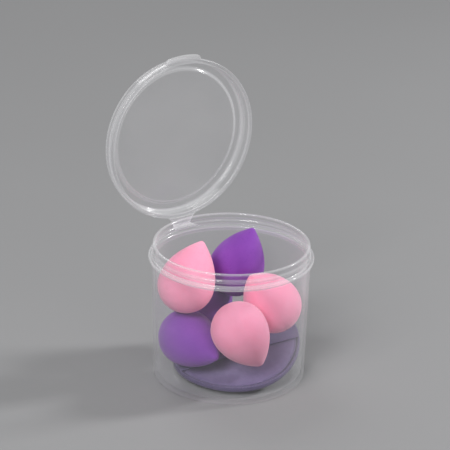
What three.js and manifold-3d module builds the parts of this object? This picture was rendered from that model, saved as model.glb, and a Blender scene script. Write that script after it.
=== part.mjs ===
// Flip-lid sponge jar: a round moulded jar with a hinged lid, a powder puff and six teardrop sponges.
// Millimetres, +Z up. Origin: centre of the jar's base. The hinge is at +Y, the thumb tab at -Y.
import * as THREE from "three";
import { mergeVertices } from "three/addons/utils/BufferGeometryUtils.js";
import Module from "manifold-3d";

// ---- driving dimensions ----
const NECK_R = 34.5;
const RIM_Z = 62.6;
const GAP = 0.35;
const SEGMENTS = 72;

const BODY_R_TOP = NECK_R + 0.3;
const BODY_R_BOTTOM = NECK_R - 0.8;
const WALL = 1.3;
const FLOOR_T = 1.6;
const BASE_EDGE_R = 1.4;
const FLOOR_CORNER_R = 1.6;
const NECK_H = 5.7;
const BEAD_H = 0.3;
const FLANGE_OUT = 1.8;
const FLANGE_T = 1.2;

const LID_CLEARANCE = 0.8;
const LID_RIM_T = 1.95;
const LID_RIM_H = 1.8;
const LID_SKIRT_T = 1.25;
const LID_PLATE_T = 1.0;
const LID_EDGE_R = 1.6;
const PANEL_IN = 3.6;
const PANEL_DROP = 0.65;
const TAB_W = 18;
const TAB_OUT = 2.0;
const TAB_T = 1.5;
const LID_OPEN_DEG = 90;

const STRAP_W = 10;
const STRAP_FLARE = 2;
const STRAP_T = 0.7;
const HINGE_OUT = 4.0;

// The sponges and the puff fill the jar, so their sizes and places are shares of its inside radius,
// or of its height over this slenderness where that is the smaller.
const INSIDE_R = BODY_R_BOTTOM - WALL;
const SLENDERNESS = 1.9321;
const FILL = Math.min(INSIDE_R, RIM_Z / SLENDERNESS);
const SPONGE_L = 1.0648 * FILL;
const SPONGE_R = 0.3858 * FILL;
const SPONGE_BLUNT_L = 0.3796 * FILL;

const PUFF_R = 0.8735 * FILL;
const PUFF_EDGE_H = 0.0679 * FILL;
const PUFF_SWELL = 0.0432 * FILL;
const CLOTH_T = 0.0185 * FILL;
const BINDING_W = 1.7;
const RIBBON_W = 0.4012 * FILL;
const RIBBON_T = 0.5;
const RIBBON_DEG = -17;

// The puff's middle surface, which sags under the sponges. These are shares of FILL, with its heights
// above the jar's floor given at the puff's edge.
const PUFF = { x: 0.1296, y: 0.0062, z: 0.1960 };
const SAG = { tilt: 0.2127, tiltDeg: 8, saddle: 0.0713, saddleDeg: 8, dish: 0.0083 };

// Each sponge: the centre of its widest circle, as shares of FILL from the middle of the jar's floor,
// then the way its tip points.
const SPONGES = [
  { name: "sponge_pink_left", at: [-0.6068, 0.1815, 1.3187], azimuth: 29.8, elevation: 44.6 },
  { name: "sponge_purple_back", at: [0.3967, 0.4713, 1.2163], azimuth: -36.8, elevation: 70.1 },
  { name: "sponge_pink_right", at: [0.5219, -0.2957, 0.9420], azimuth: 179.1, elevation: 52.7 },
  { name: "sponge_pink_front", at: [-0.2361, -0.5818, 0.8784], azimuth: -16.1, elevation: -60.3 },
  { name: "sponge_purple_left", at: [-0.6000, 0.1590, 0.5498], azimuth: -82.5, elevation: -5.7 },
  { name: "sponge_purple_mid", at: [-0.0312, 0.6543, 0.5735], azimuth: 9.9, elevation: 17.3, squeeze: 0.89 },
];

const PINK = 0xf29bbd;
const PURPLE = 0x6c3596;
const CLOTH = 0x6f668c;
const CLEAR = 0xdfe3e6;

// ---- sizes that follow from them ----
const FLANGE_R = NECK_R + FLANGE_OUT;
const FLANGE_TOP_Z = RIM_Z - NECK_H;
const FLANGE_BOTTOM_Z = FLANGE_TOP_Z - FLANGE_T;
const LID_INNER_R = NECK_R + LID_CLEARANCE;
const LID_RIM_R = LID_INNER_R + LID_RIM_T;
const LID_SKIRT_R = LID_INNER_R + LID_SKIRT_T;
const LID_BOTTOM_Z = FLANGE_TOP_Z + GAP;
const LID_INNER_Z = RIM_Z + GAP;
const LID_TOP_Z = LID_INNER_Z + LID_PLATE_T;
const PANEL_R = NECK_R - PANEL_IN;
const HINGE_Y = FLANGE_R + HINGE_OUT;
const HINGE_Z = FLANGE_TOP_Z - 0.1;
const STRAP_GAP = GAP / 2;
const PUFF_FACE_R = PUFF_R - BINDING_W - GAP;

const wasm = await Module();
wasm.setup();

function mesh(name, geometry, colour, look = {}) {
  const material = new THREE.MeshStandardMaterial({ color: colour, roughness: 0.6, ...look });
  const made = new THREE.Mesh(geometry, material);
  made.name = name;
  return made;
}

function radians(degrees) {
  return THREE.MathUtils.degToRad(degrees);
}

// A profile of [radius, height] pairs, turned about Z.
function turned(profile, segments = SEGMENTS) {
  const points = profile.map(([r, z]) => new THREE.Vector2(r, z));
  return new THREE.LatheGeometry(points, segments).rotateX(Math.PI / 2);
}

function arc(r0, z0, radius, fromDeg, toDeg, steps) {
  return Array.from({ length: steps + 1 }, (_, i) => {
    const a = radians(fromDeg + ((toDeg - fromDeg) * i) / steps);
    return [r0 + radius * Math.cos(a), z0 + radius * Math.sin(a)];
  });
}

function joined(a, b) {
  const [first, second] = [a, b].map((geometry) => {
    const bare = geometry.index ? geometry.toNonIndexed() : geometry.clone();
    bare.deleteAttribute("normal");
    bare.deleteAttribute("uv");
    const merged = mergeVertices(bare, 1e-4);
    const triVerts = new Uint32Array(merged.index.array);
    const vertProperties = merged.attributes.position.array;
    return new wasm.Manifold(new wasm.Mesh({ numProp: 3, vertProperties, triVerts }));
  });
  const out = first.add(second).getMesh();
  const geometry = new THREE.BufferGeometry();
  geometry.setAttribute("position", new THREE.BufferAttribute(out.vertProperties, 3));
  geometry.setIndex(new THREE.BufferAttribute(out.triVerts, 1));
  return geometry;
}

// ---- jar ----
function jarBody() {
  const beadZ = FLANGE_TOP_Z + NECK_H * 0.4;
  const corner = INSIDE_R - FLOOR_CORNER_R;
  return turned([
    [0, 0],
    ...arc(BODY_R_BOTTOM - BASE_EDGE_R, BASE_EDGE_R, BASE_EDGE_R, -90, 0, 5),
    [BODY_R_TOP, FLANGE_BOTTOM_Z - 0.5],
    [BODY_R_TOP + 0.5, FLANGE_BOTTOM_Z],
    [FLANGE_R - 0.3, FLANGE_BOTTOM_Z],
    [FLANGE_R, FLANGE_BOTTOM_Z + 0.3],
    [FLANGE_R, FLANGE_TOP_Z - 0.3],
    [FLANGE_R - 0.3, FLANGE_TOP_Z],
    [NECK_R, FLANGE_TOP_Z],
    [NECK_R, beadZ - 0.6],
    [NECK_R + BEAD_H, beadZ - 0.2],
    [NECK_R + BEAD_H, beadZ + 0.2],
    [NECK_R, beadZ + 0.6],
    ...arc(NECK_R - WALL / 2, RIM_Z - WALL / 2, WALL / 2, 0, 180, 6),
    [NECK_R - WALL, FLANGE_BOTTOM_Z],
    [BODY_R_TOP - WALL, FLANGE_BOTTOM_Z - 0.8],
    ...arc(corner, FLOOR_T + FLOOR_CORNER_R, FLOOR_CORNER_R, 0, -90, 4),
    [0, FLOOR_T],
  ]);
}

// ---- lid, drawn shut and then swung open about the hinge ----
function lidDisc() {
  const topEdge = arc(LID_SKIRT_R - LID_EDGE_R, LID_TOP_Z - LID_EDGE_R, LID_EDGE_R, 0, 90, 5);
  const rimTop = LID_BOTTOM_Z + LID_RIM_H;
  return turned([
    [0, LID_INNER_Z - PANEL_DROP],
    [PANEL_R, LID_INNER_Z - PANEL_DROP],
    [PANEL_R + PANEL_DROP, LID_INNER_Z],
    [LID_INNER_R - 0.5, LID_INNER_Z],
    [LID_INNER_R, LID_INNER_Z - 0.5],
    [LID_INNER_R, LID_BOTTOM_Z + 0.2],
    [LID_INNER_R + 0.2, LID_BOTTOM_Z],
    [LID_RIM_R - 0.4, LID_BOTTOM_Z],
    [LID_RIM_R, LID_BOTTOM_Z + 0.4],
    [LID_RIM_R, rimTop - 0.4],
    [LID_SKIRT_R, rimTop],
    ...topEdge,
    [PANEL_R + PANEL_DROP + 0.3, LID_TOP_Z],
    [PANEL_R + 0.3, LID_TOP_Z - PANEL_DROP],
    [0, LID_TOP_Z - PANEL_DROP],
  ]);
}

function thumbTab() {
  const half = Math.asin(TAB_W / 2 / LID_RIM_R);
  const outline = [];
  for (let i = 0; i <= 24; i++) {
    const t = i / 12 - 1;
    const r = LID_RIM_R - 0.3 + (TAB_OUT + 0.3) * (1 - t ** 14);
    outline.push(new THREE.Vector2(r * Math.sin(t * half), -r * Math.cos(t * half)));
  }
  for (let i = 6; i >= -6; i--) {
    const a = (half * i) / 6;
    const r = LID_INNER_R + 0.4;
    outline.push(new THREE.Vector2(r * Math.sin(a), -r * Math.cos(a)));
  }
  const bevel = { bevelSize: 0.25, bevelThickness: 0.25, bevelOffset: -0.25, bevelSegments: 2 };
  const shape = new THREE.Shape(outline);
  const tab = new THREE.ExtrudeGeometry(shape, { depth: TAB_T - 0.5, ...bevel });
  return tab.translate(0, 0, LID_BOTTOM_Z + 0.25);
}

function swungOpen(geometry) {
  geometry.translate(0, -HINGE_Y, -HINGE_Z);
  geometry.rotateX(radians(-LID_OPEN_DEG));
  return geometry.translate(0, HINGE_Y, HINGE_Z);
}

// One half of the hinge strap: it hugs a round wall and flares where it meets it.
function strapHalf(wallR, bottomZ) {
  const outline = [new THREE.Vector2(STRAP_W / 2, HINGE_Y - STRAP_GAP)];
  const footHalf = STRAP_W / 2 + STRAP_FLARE;
  const footY = Math.sqrt(wallR ** 2 - footHalf ** 2);
  for (let i = 0; i <= 6; i++) {
    const t = i / 6;
    const y = HINGE_Y - STRAP_GAP - (HINGE_Y - STRAP_GAP - footY) * (0.3 + 0.7 * t);
    outline.push(new THREE.Vector2(STRAP_W / 2 + STRAP_FLARE * t * t, y));
  }
  for (let i = 5; i >= -5; i--) {
    const x = (footHalf * i) / 6;
    outline.push(new THREE.Vector2(x, Math.sqrt(wallR ** 2 - x ** 2)));
  }
  const mirrored = outline.slice(0, 8).map((p) => new THREE.Vector2(-p.x, p.y));
  const shape = new THREE.Shape([...outline, ...mirrored.reverse()]);
  const strap = new THREE.ExtrudeGeometry(shape, { depth: STRAP_T, bevelEnabled: false });
  return strap.translate(0, 0, bottomZ);
}

// ---- sponges ----
function spongeRadius(s) {
  if (s < SPONGE_BLUNT_L) return SPONGE_R * Math.sqrt(1 - (1 - s / SPONGE_BLUNT_L) ** 2);
  return SPONGE_R * (1 - ((s - SPONGE_BLUNT_L) / (SPONGE_L - SPONGE_BLUNT_L)) ** 2);
}

function sponge({ name, at, azimuth, elevation, squeeze = 1 }) {
  const blunt = [0.1, 0.25, 0.42, 0.6, 0.8, 1].map((t) => (1 - Math.cos((t * Math.PI) / 2)));
  const taper = [0.12, 0.25, 0.38, 0.5, 0.62, 0.74, 0.84, 0.92, 0.96];
  const stations = [
    ...blunt.map((t) => t * SPONGE_BLUNT_L),
    ...taper.map((t) => SPONGE_BLUNT_L + t * (SPONGE_L - SPONGE_BLUNT_L)),
  ];
  const side = stations.map((s) => [spongeRadius(s), s - SPONGE_BLUNT_L]);
  const tip = 0.99 * SPONGE_L - SPONGE_BLUNT_L;
  const body = turned([[0, -SPONGE_BLUNT_L], ...side, [0, tip]], 32);
  body.scale(squeeze, squeeze, squeeze).rotateY(radians(90 - elevation));
  body.rotateZ(radians(azimuth));
  body.translate(at[0] * FILL, at[1] * FILL, FLOOR_T + at[2] * FILL);
  return mesh(name, body, name.includes("pink") ? PINK : PURPLE);
}

// ---- puff ----
function sag(x, y) {
  const rho = Math.hypot(x, y) / PUFF_R;
  const angle = Math.atan2(y, x);
  const tilt = SAG.tilt * rho * Math.cos(angle - radians(SAG.tiltDeg));
  const saddle = SAG.saddle * rho ** 2 * Math.cos(2 * (angle - radians(SAG.saddleDeg)));
  return FLOOR_T + FILL * (PUFF.z + tilt + saddle + SAG.dish * rho ** 2);
}

// Half the puff's thickness at radius r: thin at the sewn edge, flat across the middle.
function halfThickness(r) {
  const t = Math.min(r / PUFF_FACE_R, 1);
  return PUFF_EDGE_H / 2 + PUFF_SWELL * (1 - t ** 4);
}

function sagged(geometry) {
  const p = geometry.attributes.position;
  for (let i = 0; i < p.count; i++) {
    p.setZ(i, p.getZ(i) + sag(p.getX(i), p.getY(i)));
  }
  return geometry.translate(PUFF.x * FILL, PUFF.y * FILL, 0);
}

function puffLayer(outerR, topAt, bottomAt) {
  const radii = [0.2, 0.4, 0.55, 0.7, 0.8, 0.88, 0.95, 1].map((t) => t * outerR);
  const bottom = radii.map((r) => [r, bottomAt(r)]);
  const top = radii.map((r) => [r, topAt(r)]).reverse();
  return sagged(turned([[0, bottomAt(0)], ...bottom, ...top, [0, topAt(0)]], 48));
}

function puffBinding() {
  const half = PUFF_EDGE_H / 2;
  const profile = [
    [PUFF_R - BINDING_W, -half],
    [PUFF_R - 0.4, -half],
    [PUFF_R, -half * 0.45],
    [PUFF_R, half * 0.45],
    [PUFF_R - 0.4, half],
    [PUFF_R - BINDING_W, half],
    [PUFF_R - BINDING_W, -half],
  ];
  return sagged(turned(profile, 64));
}

function puffRibbon() {
  const reach = PUFF_R - 0.3;
  const band = new THREE.BoxGeometry(2 * reach, RIBBON_W, RIBBON_T, 36, 6, 1);
  band.rotateZ(radians(RIBBON_DEG));
  const p = band.attributes.position;
  for (let i = 0; i < p.count; i++) {
    const r = Math.hypot(p.getX(i), p.getY(i));
    const inside = Math.min(1, reach / r);
    const lift = halfThickness(r) + GAP + RIBBON_T / 2;
    p.setXYZ(i, p.getX(i) * inside, p.getY(i) * inside, p.getZ(i) + lift);
  }
  return sagged(band);
}

function puff() {
  const face = puffLayer(PUFF_FACE_R, halfThickness, (r) => halfThickness(r) - CLOTH_T);
  const back = puffLayer(PUFF_FACE_R, (r) => CLOTH_T - halfThickness(r), (r) => -halfThickness(r));
  const coreHalf = (r) => halfThickness(r) - CLOTH_T - GAP;
  const core = puffLayer(PUFF_FACE_R - 0.6, coreHalf, (r) => -coreHalf(r));
  return [
    mesh("puff_face", face, CLOTH, { roughness: 0.95 }),
    mesh("puff_back", back, CLOTH, { roughness: 0.95 }),
    mesh("puff_core", core, 0xe8e4da, { roughness: 0.95 }),
    mesh("puff_binding", puffBinding(), 0x5d5479, { roughness: 0.9 }),
    mesh("puff_ribbon", puffRibbon(), 0x6f668c, { roughness: 0.5 }),
  ];
}

function jarAndLid() {
  const clear = { transparent: true, opacity: 0.35, roughness: 0.2 };
  const lid = swungOpen(joined(lidDisc(), thumbTab()));
  const jarLeaf = strapHalf(FLANGE_R + GAP, HINGE_Z - STRAP_GAP - STRAP_T);
  const lidLeaf = swungOpen(strapHalf(LID_RIM_R + GAP, HINGE_Z + STRAP_GAP));
  return [
    mesh("jar_body", jarBody(), CLEAR, clear),
    mesh("hinge_leaf_jar", jarLeaf, CLEAR, clear),
    mesh("hinge_leaf_lid", lidLeaf, CLEAR, clear),
    mesh("lid", lid, CLEAR, clear),
  ];
}

const part = new THREE.Group();
part.add(...jarAndLid(), ...puff(), ...SPONGES.map(sponge));
export default part;
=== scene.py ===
import math

import bpy
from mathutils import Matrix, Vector, noise


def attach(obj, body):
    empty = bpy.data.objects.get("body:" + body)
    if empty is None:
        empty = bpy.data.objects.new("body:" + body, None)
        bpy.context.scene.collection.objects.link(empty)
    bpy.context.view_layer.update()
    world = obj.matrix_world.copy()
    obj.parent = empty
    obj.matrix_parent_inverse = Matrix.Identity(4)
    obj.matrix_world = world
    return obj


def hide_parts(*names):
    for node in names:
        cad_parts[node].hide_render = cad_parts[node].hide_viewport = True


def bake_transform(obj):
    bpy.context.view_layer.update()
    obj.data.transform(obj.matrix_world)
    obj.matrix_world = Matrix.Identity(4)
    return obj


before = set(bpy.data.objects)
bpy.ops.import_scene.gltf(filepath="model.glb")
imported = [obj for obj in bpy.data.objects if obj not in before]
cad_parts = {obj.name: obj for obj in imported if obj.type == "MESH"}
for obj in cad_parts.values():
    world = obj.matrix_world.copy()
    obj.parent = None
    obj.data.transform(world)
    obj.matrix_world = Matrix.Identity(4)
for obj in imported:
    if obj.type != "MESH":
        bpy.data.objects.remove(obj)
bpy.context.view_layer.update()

# Sizes of the CAD part, in millimetres. MM turns them into the frame's metres.
MM = 0.001
NECK_R, RIM_Z = 34.5, 62.6
BODY_R_TOP, BODY_R_BOTTOM, WALL, FLOOR_T = 34.8, 33.7, 1.3, 1.6
FLANGE_R, FLANGE_TOP_Z, FLANGE_BOTTOM_Z = 36.3, 56.9, 55.7
BASE_HOLLOW, CLEAR_BELOW_Z = 0.4, 5.0
LID_INNER_R, LID_RIM_R, LID_SKIRT_R, PANEL_R = 35.3, 37.25, 36.55, 30.9
LID_BOTTOM_Z, LID_INNER_Z, LID_TOP_Z, PANEL_DROP = 57.25, 62.95, 63.95, 0.65
TAB_W, TAB_OUT = 18.0, 2.0
HINGE_Y, HINGE_Z, STRAP_W, STRAP_FLARE, STRAP_T = 40.3, 56.8, 10.0, 2.0, 0.7
BEND_R, BEND_NARROWED, BEND_REACH = 0.85, 0.35, 0.75
SPONGE_R, SPONGE_L, SPONGE_BLUNT_L = 12.5, 34.5, 12.3
PUFF_R, PUFF_FACE_R, PUFF_EDGE_H, PUFF_SWELL, BINDING_W = 28.3, 26.25, 2.2, 1.4, 1.7
PUFF_AT = (4.2, 0.2, 7.95)
TILT, SADDLE, DISH, SAG_DEG = 6.89, 2.31, 0.27, 8.0
RIBBON_W, RIBBON_T, RIBBON_DEG, RIBBON_REACH = 13.0, 0.5, -17.0, 28.0

# Each sponge: its body, its foam, the centre of its widest circle, the azimuth and elevation its
# tip points at, its scale, and the share of its taper at which the tip rounds off.
SPONGES = {
    "sponge_pink_left": ("pink_left", "pink", (-19.66, 5.88, 44.33), 29.8, 44.6, 1.0, 0.95),
    "sponge_purple_back": ("purple_back", "purple", (12.85, 15.27, 41.01), -36.8, 70.1, 1.0, 0.962),
    "sponge_pink_right": ("pink_right", "pink", (16.91, -9.58, 32.12), 179.1, 52.7, 1.0, 0.93),
    "sponge_pink_front": ("pink_front", "pink", (-7.65, -18.85, 30.06), -16.1, -60.3, 1.0, 0.9),
    "sponge_purple_left": ("purple_left", "purple", (-19.44, 5.15, 19.41), -82.5, -5.7, 1.0, 0.93),
    "sponge_purple_mid": ("purple_mid", "purple", (-1.01, 21.20, 20.18), 9.9, 17.3, 0.89, 0.93),
}


# ---- node trees ----
def put(tree, kind, inputs=None, **settings):
    """A node with its settings; an input is a value, or the socket that feeds it."""
    made = tree.nodes.new(kind)
    for name, value in settings.items():
        setattr(made, name, value)
    for name, value in (inputs or {}).items():
        if isinstance(value, bpy.types.NodeSocket):
            tree.links.new(value, made.inputs[name])
        else:
            made.inputs[name].default_value = value
    return made


def spread(tree, value, low, high, to_low=0.0, to_high=1.0):
    """value from low..high, mapped to to_low..to_high and held there."""
    limits = {"Value": value, "From Min": low, "From Max": high}
    limits |= {"To Min": to_low, "To Max": to_high}
    return put(tree, "ShaderNodeMapRange", limits, clamp=True).outputs[0]


def blend_colour(tree, amount, a, b):
    mixed = put(tree, "ShaderNodeMix", {0: amount, 6: a, 7: b}, data_type="RGBA")
    return mixed.outputs[2]


def combine(tree, operation, a, b):
    return put(tree, "ShaderNodeMath", {0: a, 1: b}, operation=operation).outputs[0]


def weigh(tree, *parts):
    """The sum of (value, share) parts, each value times its share."""
    total = None
    for value, share in parts:
        part = combine(tree, "MULTIPLY", value, share)
        total = combine(tree, "ADD", total, part) if total else part
    return total


def effect(name, inputs, outputs):
    """An empty shader group with named inputs (vector or number) and outputs."""
    tree = bpy.data.node_groups.new(name, "ShaderNodeTree")
    for label, value in inputs:
        kind = "NodeSocketVector" if value is None else "NodeSocketFloat"
        socket = tree.interface.new_socket(label, in_out="INPUT", socket_type=kind)
        if value is not None:
            socket.default_value = value
    for label in outputs:
        tree.interface.new_socket(label, in_out="OUTPUT", socket_type="NodeSocketFloat")
    return tree, tree.nodes.new("NodeGroupInput").outputs, tree.nodes.new("NodeGroupOutput")


def foam_cells():
    """Fine open cells with a few larger pores, and the slow mottling of dyed foam."""
    inputs = [("Place", None), ("Cells per metre", 2600.0), ("Pores per metre", 850.0)]
    tree, given, out = effect("Foam cells", inputs, ["Height", "Mottle", "Pore"])
    fine = put(tree, "ShaderNodeTexVoronoi", {"Vector": given[0], "Scale": given[1]})
    pore = put(tree, "ShaderNodeTexVoronoi", {"Vector": given[0], "Scale": given[2]})
    slow = put(tree, "ShaderNodeTexNoise", {"Vector": given[0], "Scale": 90.0, "Detail": 4.0})
    grain = put(tree, "ShaderNodeTexNoise", {"Vector": given[0], "Scale": 1900.0, "Detail": 2.0})
    cell = spread(tree, fine.outputs["Distance"], 0.0, 0.75)
    hole = spread(tree, pore.outputs["Distance"], 0.06, 0.2)
    height = weigh(tree, (cell, 0.45), (hole, 0.4), (grain.outputs[0], 0.3))
    tree.links.new(height, out.inputs["Height"])
    tree.links.new(spread(tree, slow.outputs[0], 0.3, 0.7), out.inputs["Mottle"])
    tree.links.new(hole, out.inputs["Pore"])
    return tree


def moulding_marks():
    """Flow haze and fine handling scuffs of a thin injection moulding."""
    inputs = [("Place", None), ("Haze per metre", 45.0), ("Scuffs", 0.5)]
    tree, given, out = effect("Moulding marks", inputs, ["Haze", "Scuff", "Height"])
    haze = put(tree, "ShaderNodeTexNoise", {"Vector": given[0], "Scale": given[1], "Detail": 3.0})
    drawn = put(tree, "ShaderNodeMapping", {"Vector": given[0], "Scale": (1.0, 1.0, 0.16)})
    along = {"Vector": drawn.outputs[0], "Scale": 900.0, "Detail": 5.0}
    lines = put(tree, "ShaderNodeTexNoise", along)
    ripple = put(tree, "ShaderNodeTexNoise", {"Vector": given[0], "Scale": 60.0, "Detail": 1.0})
    scuff = combine(tree, "MULTIPLY", spread(tree, lines.outputs[0], 0.62, 0.78), given[2])
    tree.links.new(spread(tree, haze.outputs[0], 0.3, 0.72), out.inputs["Haze"])
    tree.links.new(scuff, out.inputs["Scuff"])
    raised = combine(tree, "MULTIPLY", scuff, 0.02)
    tree.links.new(combine(tree, "ADD", ripple.outputs[0], raised), out.inputs["Height"])
    return tree


def woven_ribs():
    """Threads across threads, read from a map in metres: ribs one way, finer warp the other."""
    inputs = [("Place", None), ("Ribs per metre", 1400.0), ("Warp per metre", 3200.0)]
    tree, given, out = effect("Woven ribs", inputs, ["Height", "Shade"])
    axes = put(tree, "ShaderNodeSeparateXYZ", {0: given[0]})

    def waves(axis, per_metre):
        turns = combine(tree, "MULTIPLY", combine(tree, "MULTIPLY", axis, per_metre), math.tau)
        return combine(tree, "SINE", turns, 0.0)

    ribs, warp = waves(axes.outputs[1], given[1]), waves(axes.outputs[0], given[2])
    noisy = {"Vector": given[0], "Scale": 700.0, "Detail": 3.0}
    uneven = put(tree, "ShaderNodeTexNoise", noisy).outputs[0]
    woven = weigh(tree, (ribs, 0.35), (warp, 0.15))
    fuzz = combine(tree, "MULTIPLY", uneven, 0.2)
    height = combine(tree, "ADD", combine(tree, "ADD", woven, 0.5), fuzz)
    # Painted shade: the colour follows the threads' height, lighter on the raised threads and
    # darker in the grooves between them.
    shade = spread(tree, combine(tree, "ADD", woven, uneven), 0.1, 0.9)
    tree.links.new(height, out.inputs["Height"])
    tree.links.new(shade, out.inputs["Shade"])
    return tree


FOAM_CELLS, MOULDING_MARKS, WOVEN_RIBS = foam_cells(), moulding_marks(), woven_ribs()


def begin(name):
    material = bpy.data.materials.new(name)
    material.use_nodes = True
    tree = material.node_tree
    tree.nodes.clear()
    output = tree.nodes.new("ShaderNodeOutputMaterial")
    place = tree.nodes.new("ShaderNodeTexCoord").outputs["Object"]
    return material, tree, output, place


def apply_effect(tree, group, inputs):
    return put(tree, "ShaderNodeGroup", inputs, node_tree=group).outputs


def foam(name, deep, light, pore):
    material, tree, output, place = begin(name)
    cells = apply_effect(tree, FOAM_CELLS, {"Place": place})
    dyed = blend_colour(tree, cells["Mottle"], deep, light)
    # Painted shade: the pores take a darker colour, standing in for the shade down in them.
    colour = blend_colour(tree, cells["Pore"], pore, dyed)
    bumps = {"Height": cells["Height"], "Strength": 0.5, "Distance": 0.12 * MM}
    relief = put(tree, "ShaderNodeBump", bumps).outputs[0]
    rough = spread(tree, cells["Mottle"], 0.0, 1.0, 0.78, 0.9)
    skin = {"Base Color": colour, "Roughness": rough, "Normal": relief, "IOR": 1.4}
    skin |= {"Specular IOR Level": 0.3, "Sheen Weight": 0.18, "Sheen Roughness": 0.5}
    skin |= {"Subsurface Weight": 0.25, "Subsurface Radius": (0.9, 0.45, 0.6)}
    skin |= {"Subsurface Scale": 2 * MM}
    tree.links.new(put(tree, "ShaderNodeBsdfPrincipled", skin).outputs[0], output.inputs[0])
    return material


def clear_polypropylene(name, tints, haze_size, milk, grazing_milk, edge_milk):
    """Thin moulded plastic, see-through face on. milk is how milky it is there; grazing_milk is
    what it gains where it is looked along, and edge_milk what it gains on rounded edges."""
    material, tree, output, place = begin(name)
    moulded = {"Place": place, "Haze per metre": haze_size, "Scuffs": 0.5}
    marks = apply_effect(tree, MOULDING_MARKS, moulded)
    colour = blend_colour(tree, marks["Haze"], *tints)
    dulled = combine(tree, "MULTIPLY", marks["Scuff"], 0.3)
    rough = combine(tree, "ADD", spread(tree, marks["Haze"], 0.0, 1.0, 0.08, 0.16), dulled)
    ripples = {"Height": marks["Height"], "Strength": 0.15, "Distance": 0.6 * MM}
    relief = put(tree, "ShaderNodeBump", ripples).outputs[0]
    body = {"Base Color": colour, "Roughness": rough, "Normal": relief, "IOR": 2.3}
    plastic = put(tree, "ShaderNodeBsdfPrincipled", body).outputs[0]
    through = put(tree, "ShaderNodeBsdfTransparent", {"Color": SEEN_THROUGH}).outputs[0]
    looked_along = put(tree, "ShaderNodeLayerWeight", {"Blend": 0.5}).outputs["Facing"]
    grazing = combine(tree, "POWER", looked_along, 3.0)
    haze = spread(tree, marks["Haze"], 0.0, 1.0, milk * 0.8, milk * 1.2)
    edge = put(tree, "ShaderNodeAttribute", attribute_name="Edge").outputs["Fac"]
    on_edges = combine(tree, "ADD", haze, combine(tree, "MULTIPLY", edge, edge_milk))
    solid = combine(tree, "ADD", on_edges, combine(tree, "MULTIPLY", grazing, grazing_milk))
    mixed = put(tree, "ShaderNodeMixShader", {0: solid, 1: through, 2: plastic})
    tree.links.new(mixed.outputs[0], output.inputs[0])
    return material


def cloth(name, deep, light, ribs, warp, rough, sheen, uv=None, relief_mm=0.08):
    """Short-nap or woven cloth. uv names the map its threads follow, else they follow the piece."""
    material, tree, output, place = begin(name)
    if uv:
        place = put(tree, "ShaderNodeUVMap", uv_map=uv).outputs[0]
    threads = {"Place": place, "Ribs per metre": ribs, "Warp per metre": warp}
    weave = apply_effect(tree, WOVEN_RIBS, threads)
    brushed = {"Vector": place, "Scale": 260.0, "Detail": 5.0}
    nap = put(tree, "ShaderNodeTexNoise", brushed).outputs[0]
    # The colour mixes the weave's painted shade, lighter on raised threads, with the nap's random
    # tone.
    shade = weigh(tree, (weave["Shade"], 0.45), (nap, 0.55))
    colour = blend_colour(tree, spread(tree, shade, 0.3, 0.75), deep, light)
    raised = {"Height": weave["Height"], "Strength": 0.6, "Distance": relief_mm * MM}
    relief = put(tree, "ShaderNodeBump", raised).outputs[0]
    worn = spread(tree, nap, 0.3, 0.7, rough - 0.06, rough + 0.06)
    skin = {"Base Color": colour, "Roughness": worn, "Normal": relief}
    skin |= {"Specular IOR Level": 0.3, "Sheen Weight": sheen, "Sheen Roughness": 0.45}
    tree.links.new(put(tree, "ShaderNodeBsdfPrincipled", skin).outputs[0], output.inputs[0])
    return material


def studio_floor():
    material, tree, output, place = begin("studio_floor")
    slow = put(tree, "ShaderNodeTexNoise", {"Vector": place, "Scale": 6.0, "Detail": 2.0})
    colour = blend_colour(tree, slow.outputs[0], (0.272, 0.272, 0.275, 1), (0.286, 0.286, 0.29, 1))
    skin = {"Base Color": colour, "Roughness": 0.75, "Specular IOR Level": 0.25}
    tree.links.new(put(tree, "ShaderNodeBsdfPrincipled", skin).outputs[0], output.inputs[0])
    return material


# Plastics: two tints, haze size, then how milky it is face on, looked along and on rounded edges.
SEEN_THROUGH = (0.985, 0.985, 0.988, 1)
MOULDED_TINTS = ((0.86, 0.865, 0.88, 1), (0.92, 0.92, 0.93, 1))
STRAP_TINTS = ((0.82, 0.82, 0.83, 1), (0.9, 0.9, 0.9, 1))
JAR_PLASTIC = clear_polypropylene("jar_polypropylene", MOULDED_TINTS, 45.0, 0.035, 0.3, 0.24)
LID_PLASTIC = clear_polypropylene("lid_polypropylene", MOULDED_TINTS, 38.0, 0.06, 0.35, 0.2)
STRAP_PLASTIC = clear_polypropylene("strap_polypropylene", STRAP_TINTS, 300.0, 0.2, 0.4, 0.35)

# Foams: two dyed colours, and the darker colour painted down in a pore as shade.
PINK = (0.89, 0.315, 0.465, 1), (0.94, 0.365, 0.525, 1), (0.80, 0.25, 0.39, 1)
PURPLE = (0.21, 0.052, 0.38, 1), (0.26, 0.072, 0.44, 1), (0.165, 0.038, 0.31, 1)
FOAMS = {"pink": foam("pink_foam", *PINK), "purple": foam("purple_foam", *PURPLE)}

# Cloths: two colours, ribs and warp threads per metre, roughness, sheen, map, relief.
VELOUR = cloth(
    "puff_velour", (0.135, 0.10, 0.215, 1), (0.195, 0.15, 0.29, 1), 1300.0, 1300.0, 0.9, 0.35)
BINDING_KNIT = cloth(
    "binding_knit", (0.075, 0.056, 0.13, 1), (0.118, 0.09, 0.185, 1), 1100.0, 2200.0, 0.85, 0.25,
    "Round", 0.12)
RIBBON_SATIN = cloth(
    "ribbon_satin", (0.145, 0.11, 0.25, 1), (0.215, 0.17, 0.34, 1), 1250.0, 3600.0, 0.45, 0.2,
    "Length", 0.1)
THREAD = cloth(
    "seam_thread", (0.17, 0.13, 0.28, 1), (0.26, 0.21, 0.38, 1), 3000.0, 3000.0, 0.6, 0.2,
    None, 0.05)


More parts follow.
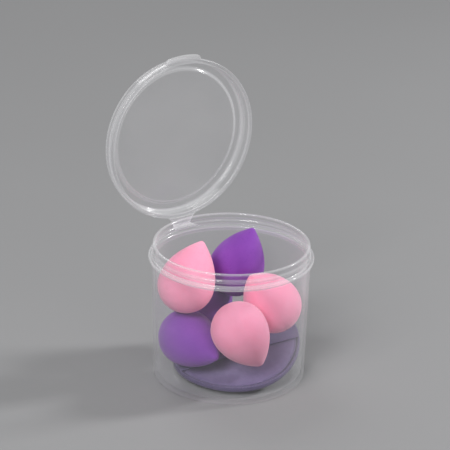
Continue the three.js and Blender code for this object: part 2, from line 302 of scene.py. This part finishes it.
# ---- making meshes ----
def piece(name, points, faces, material, sharp_deg=40.0):
    """A smooth-shaded mesh from points in millimetres, with edges sharper than sharp_deg kept."""
    mesh = bpy.data.meshes.new(name)
    mesh.from_pydata([Vector(p) * MM for p in points], [], faces)
    mesh.validate()
    mesh.materials.append(material)
    mesh.shade_smooth()
    mesh.set_sharp_from_angle(angle=math.radians(sharp_deg))
    made = bpy.data.objects.new(name, mesh)
    bpy.context.scene.collection.objects.link(made)
    return made


def belong(made, body, slot, *nodes):
    """made moves with body and stands for the nodes. slot is not used."""
    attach(made, body)
    if nodes:
        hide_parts(*nodes)
    return made


def filleted(corners, steps=4):
    """Round each (radius, height, fillet) corner of a profile. Gives (radius, height, edge),
    where edge is 1 on a rounded corner and 0 on the flats between."""
    rounds = []
    for i, (r, z, fillet) in enumerate(corners):
        here = Vector((r, z))
        if not fillet or i in (0, len(corners) - 1):
            rounds.append([here])
            continue
        back, on = (Vector(corners[k][:2]) - here for k in (i - 1, i + 1))
        a = here + back.normalized() * min(fillet, back.length * 0.45)
        b = here + on.normalized() * min(fillet, on.length * 0.45)
        arc = [k / steps for k in range(steps + 1)]
        rounds.append([a * (1 - t) ** 2 + here * 2 * t * (1 - t) + b * t ** 2 for t in arc])
    out = []
    for i, spots in enumerate(rounds):
        lit = 1.0 if len(spots) > 1 else 0.0
        out += [(p.x, p.y, lit) for p in spots]
        if i + 1 < len(rounds):
            a, b = spots[-1], rounds[i + 1][0]
            step = (b - a).normalized() * min(0.3, (b - a).length * 0.3)
            out += [((a + step).x, (a + step).y, 0.0), ((b - step).x, (b - step).y, 0.0)]
    return out


def turned(profile, angles, reach=None):
    """Points and faces of a profile turned about Z. reach(i, angle) moves ring i outward."""
    points, rings, faces = [], [], []
    for i, (r, z, *_) in enumerate(profile):
        if r < 1e-6:
            rings.append([len(points)] * len(angles))
            points.append((0, 0, z))
            continue
        rings.append(list(range(len(points), len(points) + len(angles))))
        for a in angles:
            out = r + (reach(i, a) if reach else 0.0)
            points.append((out * math.cos(a), out * math.sin(a), z))
    for low, high in zip(rings, rings[1:]):
        for j in range(len(angles)):
            k = (j + 1) % len(angles)
            face = list(dict.fromkeys([low[j], low[k], high[k], high[j]]))
            if len(face) > 2:
                faces.append(face)
    return points, faces


def mark_edges(made, profile, angles):
    """Keep each ring's edge value on made's points, for the plastic to read."""
    values = []
    for r, _, edge in profile:
        values += [edge] * (1 if r < 1e-6 else len(angles))
    made.data.attributes.new("Edge", "FLOAT", "POINT").data.foreach_set("value", values)


def even_angles(count):
    return [math.tau * i / count for i in range(count)]


# ---- jar ----
def jar_shell():
    """The cup, its flange, its neck and the snap bead round the neck. The base is hollowed a
    little, and its rounded corner is as clear as the wall."""
    bead, beads_out = FLANGE_TOP_Z + 2.28, NECK_R + 0.3
    inside = NECK_R - WALL
    profile = filleted([
        (0, BASE_HOLLOW, 0), (25.2, BASE_HOLLOW, 0.5), (25.9, 0, 0.5), (BODY_R_BOTTOM, 0, 1.5),
        (BODY_R_TOP, FLANGE_BOTTOM_Z - 0.5, 0.3), (BODY_R_TOP + 0.5, FLANGE_BOTTOM_Z, 0.15),
        (FLANGE_R, FLANGE_BOTTOM_Z, 0.35), (FLANGE_R, FLANGE_TOP_Z, 0.35),
        (NECK_R, FLANGE_TOP_Z, 0.3), (NECK_R, bead - 0.6, 0.3),
        (beads_out, bead - 0.2, 0.2), (beads_out, bead + 0.2, 0.2), (NECK_R, bead + 0.6, 0.3),
        (NECK_R, RIM_Z, 0.62), (inside, RIM_Z, 0.62), (inside, FLANGE_BOTTOM_Z, 0.6),
        (BODY_R_TOP - WALL, FLANGE_BOTTOM_Z - 0.8, 0.5), (BODY_R_BOTTOM - WALL, FLOOR_T, 2.2),
        (26.2, FLOOR_T, 0.4), (25.4, FLOOR_T + 0.2, 0.4), (0, FLOOR_T + 0.2, 0),
    ])
    profile = [(r, z, edge if z > CLEAR_BELOW_Z else 0.0) for r, z, edge in profile]
    angles = even_angles(192)
    points, faces = turned(profile, angles)
    jar = piece("jar_shell", points, faces, JAR_PLASTIC)
    mark_edges(jar, profile, angles)
    return belong(jar, "jar", "clear_plastic", "jar_body")


# ---- lid ----
def lid_shell():
    """Drawn shut, with the thumb tab as a bulge of the rim, then swung open about the hinge.
    Each ring of the rim's edge has its height above the lid's bottom and its share of the tab."""
    inner = filleted([
        (0, LID_INNER_Z - PANEL_DROP, 0), (PANEL_R, LID_INNER_Z - PANEL_DROP, 0.3),
        (PANEL_R + PANEL_DROP, LID_INNER_Z, 0.3), (LID_INNER_R, LID_INNER_Z, 0.6),
        (LID_INNER_R, LID_BOTTOM_Z, 0.25), (LID_RIM_R - 0.35, LID_BOTTOM_Z, 0),
    ])
    tab_edge = [
        (LID_RIM_R - 0.15, 0.04, 0.88), (LID_RIM_R - 0.04, 0.15, 0.97),
        (LID_RIM_R, 0.35, 1.0), (LID_RIM_R, 1.2, 1.0), (LID_RIM_R, 1.38, 0.96),
        (LID_RIM_R, 1.47, 0.84), (LID_RIM_R, 1.5, 0.3), (LID_RIM_R, 1.52, 0.0),
    ]
    tab_rings = {len(inner) + i: share for i, (_, _, share) in enumerate(tab_edge)}
    flat_rings = (3, 7)
    rim = [
        (r, LID_BOTTOM_Z + up, 0.3 if i in flat_rings else 1.0)
        for i, (r, up, _) in enumerate(tab_edge)
    ]
    outer = filleted([
        (LID_RIM_R, LID_BOTTOM_Z + 1.54, 0), (LID_RIM_R, LID_BOTTOM_Z + 1.8, 0.2),
        (LID_SKIRT_R, LID_BOTTOM_Z + 1.8, 0.25), (LID_SKIRT_R, LID_TOP_Z, 1.7),
        (PANEL_R + PANEL_DROP + 0.3, LID_TOP_Z, 0.3), (PANEL_R + 0.3, LID_TOP_Z - PANEL_DROP, 0.3),
        (0, LID_TOP_Z - PANEL_DROP, 0),
    ])
    profile = inner + rim + outer
    half = math.asin(TAB_W / 2 / LID_RIM_R)
    near = [-math.pi / 2 + half * (i / 24) for i in range(-26, 27)]
    far = [near[-1] + (math.tau - (near[-1] - near[0])) * i / 172 for i in range(1, 172)]

    def tab(i, angle):
        t = ((angle + math.pi / 2 + math.pi) % math.tau - math.pi) / half
        return tab_rings.get(i, 0.0) * TAB_OUT * max(0.0, 1 - t ** 14)

    points, faces = turned(profile, near + far, tab)
    opened = [(x, HINGE_Y + z - HINGE_Z, HINGE_Z - (y - HINGE_Y)) for x, y, z in points]
    lid = piece("lid_shell", opened, faces, LID_PLASTIC)
    mark_edges(lid, profile, near + far)
    return belong(lid, "lid", "clear_plastic", "lid")


# ---- living hinge: one strap from the flange to the lid's rim, thin where it folds ----
def hinge_strap():
    low_z = HINGE_Z - STRAP_T / 2 - STRAP_T / 4
    lid_y = HINGE_Y + STRAP_T / 2 + STRAP_T / 4
    lid_centre_z = HINGE_Z + HINGE_Y
    bend = BEND_R
    stations = [("jar", t / 8) for t in range(9)] + [("bend", t / 8) for t in range(1, 8)]
    stations += [("lid", t / 8) for t in range(9)]
    across = [math.sin(math.pi / 2 * (i / 10)) for i in range(-10, 11)]
    points, count = [], 2 * len(across)

    def middle(zone, t, x):
        """Point on the strap's middle, the way its upper side faces, and how thin it is."""
        if zone == "jar":
            start = math.sqrt((FLANGE_R + 0.03) ** 2 - x ** 2)
            y = start + (lid_y - bend - start) * t
            return (y, low_z), (0, 1), max(0.0, t * 6 - 5)
        if zone == "lid":
            end = lid_centre_z - math.sqrt((LID_RIM_R + 0.03) ** 2 - x ** 2)
            z = low_z + bend + (end - low_z - bend) * t
            return (lid_y, z), (-1, 0), max(0.0, 1 - t * 5)
        a = math.pi / 2 * t
        at = (lid_y - bend + bend * math.sin(a), low_z + bend - bend * math.cos(a))
        return at, (-math.sin(a), math.cos(a)), 1.0

    for zone, t in stations:
        foot = (1 - t) if zone == "jar" else (t if zone == "lid" else 0.0)
        half_w = STRAP_W / 2 + STRAP_FLARE * foot ** 2.5
        if zone == "bend":
            half_w -= BEND_NARROWED
        rows = {1: [], -1: []}
        for w in across:
            x = half_w * w
            (y, z), (ny, nz), thin = middle(zone, t, x)
            edge = math.sqrt(max(0.0, 1 - abs(w) ** 8))
            half_t = (STRAP_T / 2) * (1 - 0.5 * thin) * (0.25 + 0.75 * edge)
            for side in (1, -1):
                rows[side].append((x, y + ny * half_t * side, z + nz * half_t * side))
        points += rows[1] + rows[-1][::-1]
    faces = [list(range(count)), list(range(len(points) - count, len(points)))[::-1]]
    for s in range(len(stations) - 1):
        for i in range(count):
            k = (i + 1) % count
            faces.append([s * count + k, s * count + i, (s + 1) * count + i, (s + 1) * count + k])
    strap = piece("hinge_strap", points, faces, STRAP_PLASTIC)
    rim = [abs(w) ** 6 for w in across]
    edges = []
    for zone, _ in stations:
        worked = 0.5 if zone == "bend" else 0.0
        edges += [min(1.0, e + worked) for e in rim + rim[::-1]]
    strap.data.attributes.new("Edge", "FLOAT", "POINT").data.foreach_set("value", edges)
    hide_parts("hinge_leaf_jar", "hinge_leaf_lid")
    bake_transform(strap)


# ---- sponges ----
def teardrop_profile(stop):
    """(radius, distance along) from the blunt end to a ball tip, which starts where the taper has
    run its share stop."""
    rising = [math.pi / 2 * i / 22 for i in range(23)]
    side = [(SPONGE_R * math.sin(a), SPONGE_BLUNT_L * (1 - math.cos(a))) for a in rising]
    taper = SPONGE_L - SPONGE_BLUNT_L
    for i in range(1, 31):
        u = stop * i / 30
        side.append((SPONGE_R * (1 - u * u), SPONGE_BLUNT_L + taper * u))
    lean = 2 * SPONGE_R * stop / taper
    r, s = side[-1]
    centre, ball = s - r * lean, r * math.hypot(1, lean)
    first = math.acos(r / ball)
    for i in range(1, 8):
        a = first + (math.pi / 2 - first) * i / 8
        side.append((ball * math.cos(a), centre + ball * math.sin(a)))
    return side + [(0.0, centre + ball)]


def sponge(name, number):
    """One foam teardrop with slow dents and small dimples, each sponge with its own."""
    body, colour, at, azimuth, elevation, scale, stop = SPONGES[name]
    profile = [(r, s - SPONGE_BLUNT_L) for r, s in teardrop_profile(stop)]
    points, faces = turned(profile, even_angles(72))
    az, lean = math.radians(azimuth), math.radians(90 - elevation)
    placed = []
    for x, y, z in points:
        p = Vector((x, y, z)) * scale
        wander = noise.noise(p * 0.09 + Vector((number * 7.3, 1.7, 4.1)))
        dimple = noise.noise(p * 0.35 + Vector((2.1, number * 5.9, 0.3)))
        p *= 1 + (0.14 * wander + 0.05 * dimple - 0.06) / max(p.length, 4.0)
        out = p.x * math.cos(lean) + p.z * math.sin(lean)
        up = p.z * math.cos(lean) - p.x * math.sin(lean)
        east = out * math.cos(az) - p.y * math.sin(az)
        north = out * math.sin(az) + p.y * math.cos(az)
        placed.append((at[0] + east, at[1] + north, at[2] + up))
    made = piece(name.replace("sponge", "foam"), placed, faces, FOAMS[colour], 80)
    belong(made, body, colour + "_foam", name)
    return made


# ---- puff ----
def sag(x, y):
    """Height of the puff's middle surface, which tilts and bends under the sponges."""
    rho, angle = math.hypot(x, y) / PUFF_R, math.atan2(y, x)
    turn = angle - math.radians(SAG_DEG)
    bent = SADDLE * rho ** 2 * math.cos(2 * turn)
    return PUFF_AT[2] + TILT * rho * math.cos(turn) + bent + DISH * rho ** 2


def half_thickness(r):
    """Half the puff's thickness at r from its centre: thin where it is sewn, full in the middle."""
    return PUFF_EDGE_H / 2 + PUFF_SWELL * (1 - min(r / PUFF_FACE_R, 1) ** 4)


def on_puff(x, y, height):
    """A point height above the puff's sagging middle surface, x and y from the puff's centre."""
    return (x + PUFF_AT[0], y + PUFF_AT[1], height + sag(x, y))


def inflated(points, faces, sewn):
    """The pad's points, blown up like a stuffed cushion that is held at its sewn edge. The cloth
    solver works best on things about a metre across, so the pad is simulated enlarged."""
    grow = 20.0
    mesh = bpy.data.meshes.new("pad_form")
    mesh.from_pydata([Vector(p) * MM * grow for p in points], [], faces)
    form = bpy.data.objects.new("pad_form", mesh)
    bpy.context.scene.collection.objects.link(form)
    form.vertex_groups.new(name="sewn").add(sewn, 1.0, "REPLACE")
    cloth_modifier = form.modifiers.new("Cloth", "CLOTH")
    settings = cloth_modifier.settings
    settings.quality = 6
    settings.mass = 0.15
    settings.tension_stiffness = settings.compression_stiffness = 12
    settings.bending_stiffness = 0.35
    settings.use_pressure = True
    settings.uniform_pressure_force = 5.0
    settings.shrink_min = -0.035
    settings.vertex_group_mass = "sewn"
    settings.effector_weights.gravity = 0
    for frame_number in range(1, 21):
        bpy.context.scene.frame_set(frame_number)
    blown = form.evaluated_get(bpy.context.evaluated_depsgraph_get()).to_mesh()
    moved = [tuple(v.co / (MM * grow)) for v in blown.vertices]
    form.evaluated_get(bpy.context.evaluated_depsgraph_get()).to_mesh_clear()
    bpy.data.objects.remove(form)
    bpy.context.scene.frame_set(1)
    return moved


def puff_pad():
    """Both faces and the filling, as one stuffed pad: cut flatter than it ends up, inflated,
    held to the puff's thickness, gathered near the seam and then laid on the sag."""
    cut, gathers, gather_depth, most_shift = 0.75, 46, 0.22, 0.3
    rings = [0] + [PUFF_FACE_R * (i / 24) for i in range(1, 24)] + [PUFF_FACE_R]
    flat = [(r, -half_thickness(r) * cut) for r in rings]
    flat += [(PUFF_FACE_R + 0.35, 0.0)] + [(r, half_thickness(r) * cut) for r in rings[::-1]]
    points, faces = turned(flat, even_angles(120))
    sewn = [i for i, (x, y, z) in enumerate(points) if math.hypot(x, y) > PUFF_FACE_R - 0.1]
    blown = inflated(points, faces, sewn)
    placed = []
    for (x, y, z), (bx, by, bz) in zip(points, blown):
        r, angle = math.hypot(x, y), math.atan2(y, x)
        most = half_thickness(r)
        rise = min(abs(bz), most * 1.02)
        near_edge = max(0.0, (r / PUFF_FACE_R - 0.72) / 0.28)
        wander = 3 * noise.noise(Vector((x, y, 5.0)) * 0.12)
        gather = 0.5 + 0.5 * math.sin(gathers * angle + wander)
        rise -= gather_depth * gather * math.sin(math.pi * min(near_edge, 1.0)) ** 1.5
        shift = Vector((bx - x, by - y))
        if shift.length > most_shift:
            shift *= most_shift / shift.length
        height = 0.0 if r > PUFF_FACE_R + 0.2 else math.copysign(rise, z)
        placed.append(on_puff(x + shift.x, y + shift.y, height))
    pad = piece("puff_pad", placed, faces, VELOUR, 100)
    belong(pad, "puff", "puff_cloth", "puff_face", "puff_back", "puff_core")
    return pad


def puff_binding():
    """A rolled edging, drawn in a little at each overlock stitch."""
    centre, half_w, half_h = PUFF_R - BINDING_W / 2, BINDING_W / 2, PUFF_EDGE_H / 2
    around, section, stitches = 480, 20, 120
    run, girth = PUFF_R * math.tau * MM / around, 6.4 * MM / section
    points, faces, rounds = [], [], []
    for j in range(around):
        a = math.tau * j / around
        drawn = 1 - 0.07 * (0.5 + 0.5 * math.cos(stitches * a))
        for i in range(section):
            b = math.tau * i / section
            r = centre + half_w * math.copysign(abs(math.cos(b)) ** 0.7, math.cos(b)) * drawn
            z = half_h * math.copysign(abs(math.sin(b)) ** 0.75, math.sin(b)) * drawn
            points.append(on_puff(r * math.cos(a), r * math.sin(a), z))
    for j in range(around):
        for i in range(section):
            k, m = (i + 1) % section, (j + 1) % around
            faces.append([j * section + i, m * section + i, m * section + k, j * section + k])
            for di, dj in ((0, 0), (0, 1), (1, 1), (1, 0)):
                rounds.append(((i + di) * girth, (j + dj) * run))
    binding = piece("puff_edging", points, faces, BINDING_KNIT, 100)
    chart(binding, "Round", rounds)
    return belong(binding, "puff", "puff_cloth", "puff_binding")


def chart(made, name, corners):
    """Give made a UV map in metres, one pair for each face corner."""
    layer = made.data.uv_layers.new(name=name)
    for loop, uv in zip(layer.data, corners):
        loop.uv = uv


def along_ribbon(s, w):
    """Point of the ribbon s along and w across its middle, and r from the puff's centre."""
    a = math.radians(RIBBON_DEG)
    x, y = s * math.cos(a) - w * math.sin(a), s * math.sin(a) + w * math.cos(a)
    r = math.hypot(x, y)
    inside = min(1.0, RIBBON_REACH / max(r, 1e-6))
    return x * inside, y * inside, r


def ribbon_height(s, r):
    """Height of the ribbon's middle over the puff's middle surface, with a slight ripple."""
    ripple = 0.07 * math.sin(s * 0.55) * max(0.0, 1 - (s / RIBBON_REACH) ** 2)
    return half_thickness(r) + 0.35 + RIBBON_T / 2 + ripple


def finger_ribbon():
    """A flat woven band from edge to edge of the puff, cut round at its sewn ends."""
    long, wide = 90, 16
    points, faces, weave = [], [], []
    for i in range(long + 1):
        s = RIBBON_REACH * (2 * i / long - 1)
        for j in range(wide + 1):
            w = RIBBON_W * (j / wide - 0.5)
            x, y, r = along_ribbon(s, w)
            selvedge = 0.06 * abs(2 * j / wide - 1) ** 6
            points.append(on_puff(x, y, ribbon_height(s, r) + selvedge))
    for i in range(long):
        for j in range(wide):
            a = i * (wide + 1) + j
            faces.append([a, a + wide + 1, a + wide + 2, a + 1])
            for di, dj in ((0, 0), (1, 0), (1, 1), (0, 1)):
                across, along = (j + dj) / wide, (i + di) / long
                weave.append((RIBBON_W * across * MM, 2 * RIBBON_REACH * along * MM))
    ribbon = piece("finger_ribbon", points, faces, RIBBON_SATIN, 80)
    chart(ribbon, "Length", weave)
    solid = ribbon.modifiers.new("Thickness", "SOLIDIFY")
    solid.thickness = 0.34 * MM
    solid.offset = 0.0
    return belong(ribbon, "puff", "ribbon", "puff_ribbon")


# ---- stitches, laid along a path by geometry nodes ----
def stitch_row_tree():
    """Stitches at even steps along the incoming line, lying along it, each a little different."""
    tree = bpy.data.node_groups.new("Stitch row", "GeometryNodeTree")
    face = tree.interface
    inputs = [
        ("Geometry", "Geometry"), ("Stitches", "Int"), ("Stitch length", "Float"),
        ("Thread thickness", "Float"), ("Seed", "Int"), ("Thread", "Material"),
    ]
    for label, kind in inputs:
        face.new_socket(label, in_out="INPUT", socket_type="NodeSocket" + kind)
    face.new_socket("Geometry", in_out="OUTPUT", socket_type="NodeSocketGeometry")
    given = tree.nodes.new("NodeGroupInput").outputs
    line = put(tree, "GeometryNodeMeshToCurve", {"Mesh": given["Geometry"]}).outputs[0]
    spaced = {"Curve": line, "Count": given["Stitches"]}
    even = put(tree, "GeometryNodeResampleCurve", spaced).outputs[0]
    ball = {"Segments": 8, "Rings": 6, "Radius": 0.5}
    bead = put(tree, "GeometryNodeMeshUVSphere", ball).outputs[0]
    thick = given["Thread thickness"]
    long_and_thin = {"X": given["Stitch length"], "Y": thick, "Z": thick}
    size = put(tree, "ShaderNodeCombineXYZ", long_and_thin).outputs[0]
    drawn = {"Geometry": bead, "Scale": size}
    stitch = put(tree, "GeometryNodeTransform", drawn).outputs[0]
    tangent = tree.nodes.new("GeometryNodeInputTangent").outputs[0]
    along = put(tree, "FunctionNodeAlignRotationToVector", {"Vector": tangent}, axis="X")
    between = {2: 0.9, 3: 1.08, "Seed": given["Seed"]}
    vary = put(tree, "FunctionNodeRandomValue", between, data_type="FLOAT").outputs[1]
    laid = {"Points": even, "Instance": stitch, "Rotation": along.outputs[0], "Scale": vary}
    rows = put(tree, "GeometryNodeInstanceOnPoints", laid).outputs[0]
    real = put(tree, "GeometryNodeRealizeInstances", {"Geometry": rows}).outputs[0]
    soft = put(tree, "GeometryNodeSetShadeSmooth", {"Geometry": real}).outputs[0]
    threaded = {"Geometry": soft, "Material": given["Thread"]}
    done = put(tree, "GeometryNodeSetMaterial", threaded).outputs[0]
    tree.links.new(done, tree.nodes.new("NodeGroupOutput").inputs[0])
    return tree


STITCH_ROW = stitch_row_tree()


def stitch_row(name, path, closed, count, length, thickness, seed):
    """A row of stitches along path (millimetres), as a plain mesh that rides on the puff."""
    mesh = bpy.data.meshes.new(name + "_line")
    edges = [(i, i + 1) for i in range(len(path) - 1)]
    if closed:
        edges.append((len(path) - 1, 0))
    mesh.from_pydata([Vector(p) * MM for p in path], edges, [])
    line = bpy.data.objects.new(name + "_line", mesh)
    bpy.context.scene.collection.objects.link(line)
    rows = line.modifiers.new("Stitch row", "NODES")
    rows.node_group = STITCH_ROW
    values = {"Stitches": count, "Stitch length": length * MM, "Thread thickness": thickness * MM}
    values |= {"Seed": seed, "Thread": THREAD}
    for item in STITCH_ROW.interface.items_tree:
        if item.in_out == "INPUT" and item.name in values:
            rows[item.identifier] = values[item.name]
    line.data.update()
    graph = bpy.context.evaluated_depsgraph_get()
    sewn = bpy.data.meshes.new_from_object(line.evaluated_get(graph))
    line.modifiers.remove(rows)
    bpy.data.objects.remove(line)
    sewn.name = name
    made = bpy.data.objects.new(name, sewn)
    bpy.context.scene.collection.objects.link(made)
    return belong(made, "puff", "puff_cloth")


def ring_path(radius, height, steps=360):
    spots = [math.tau * i / steps for i in range(steps)]
    return [on_puff(radius * math.cos(a), radius * math.sin(a), height) for a in spots]


def seams():
    """Overlock rows round the puff's edge, and two rows tacking down each end of the ribbon.
    Gives the ribbon's rows."""
    top = half_thickness(PUFF_FACE_R)
    stitch_row("seam_top", ring_path(PUFF_FACE_R + 0.1, top + 0.02), True, 118, 1.15, 0.32, 3)
    stitch_row("seam_back", ring_path(PUFF_FACE_R + 0.1, -top - 0.02), True, 118, 1.15, 0.32, 4)
    stitch_row("seam_edge", ring_path(PUFF_R - 0.5, top - 0.12), True, 124, 1.0, 0.28, 5)
    rows = []
    for end in (1, -1):
        for inset in (1.6, 2.5):
            path = []
            for i in range(25):
                w = (RIBBON_W - 1.4) * (i / 24 - 0.5)
                s = end * (math.sqrt(RIBBON_REACH ** 2 - w ** 2) - inset)
                x, y, r = along_ribbon(s, w)
                path.append(on_puff(x, y, ribbon_height(s, r) + 0.17))
            name = "tack_%s_%d" % ("right" if end > 0 else "left", round(inset * 10))
            rows.append(stitch_row(name, path, False, 11, 0.85, 0.26, 6 + len(rows)))
    return rows


# ---- studio ----
def camera():
    """A long lens at the front left, looking down at the jar."""
    lens = bpy.data.cameras.new("camera")
    lens.sensor_width = 36.0
    lens.lens = 162.62
    lens.clip_start, lens.clip_end = 0.05, 20.0
    made = bpy.data.objects.new("camera", lens)
    right, up = Vector((0.83498, -0.54981, 0.02274)), Vector((0.19627, 0.33617, 0.92113))
    back = right.cross(up).normalized()
    for row in range(3):
        made.matrix_world[row][0], made.matrix_world[row][1] = right[row], up[row]
        made.matrix_world[row][2] = back[row]
    made.matrix_world.translation = Vector((-0.45719, -0.67449, 0.41443))
    bpy.context.scene.collection.objects.link(made)
    bpy.context.scene.camera = made


def softbox(name, at, aim, size, power):
    lamp = bpy.data.lights.new(name, "AREA")
    lamp.shape, lamp.size, lamp.size_y = "RECTANGLE", size[0], size[1]
    lamp.energy = power
    made = bpy.data.objects.new(name, lamp)
    made.location = at
    made.rotation_euler = (Vector(aim) - Vector(at)).to_track_quat("-Z", "Y").to_euler()
    bpy.context.scene.collection.objects.link(made)


def studio():
    """A round floor just under the jar, four softboxes and a pale surround."""
    reach, sides, below = 4000, 64, -0.02
    rim = [(reach * math.cos(a), reach * math.sin(a), below) for a in even_angles(sides)]
    faces = [[0, i + 1, (i + 1) % sides + 1] for i in range(sides)]
    piece("floor", [(0, 0, below)] + rim, faces, studio_floor())
    middle = (0.0, 0.0, 0.05)
    softbox("key", (-0.8, -0.4, 0.85), middle, (0.5, 0.5), 10.6)
    softbox("side", (1.0, -0.35, 0.62), middle, (0.16, 0.16), 10.4)
    softbox("front", (-0.1, -1.0, 0.35), middle, (0.5, 0.3), 1.3)
    softbox("back", (0.1, 1.0, 0.9), middle, (0.7, 0.4), 4.0)
    world = bpy.data.worlds.new("studio")
    world.use_nodes = True
    backdrop = world.node_tree.nodes["Background"].inputs
    backdrop["Color"].default_value = (0.80, 0.81, 0.83, 1)
    backdrop["Strength"].default_value = 0.25
    bpy.context.scene.world = world
    bpy.context.scene.view_settings.view_transform = "Standard"


camera()
jar_shell()
lid_shell()
hinge_strap()
for number, name in enumerate(SPONGES):
    sponge(name, number)
puff_pad()
puff_binding()
ribbon = finger_ribbon()
tacks = seams()
studio()
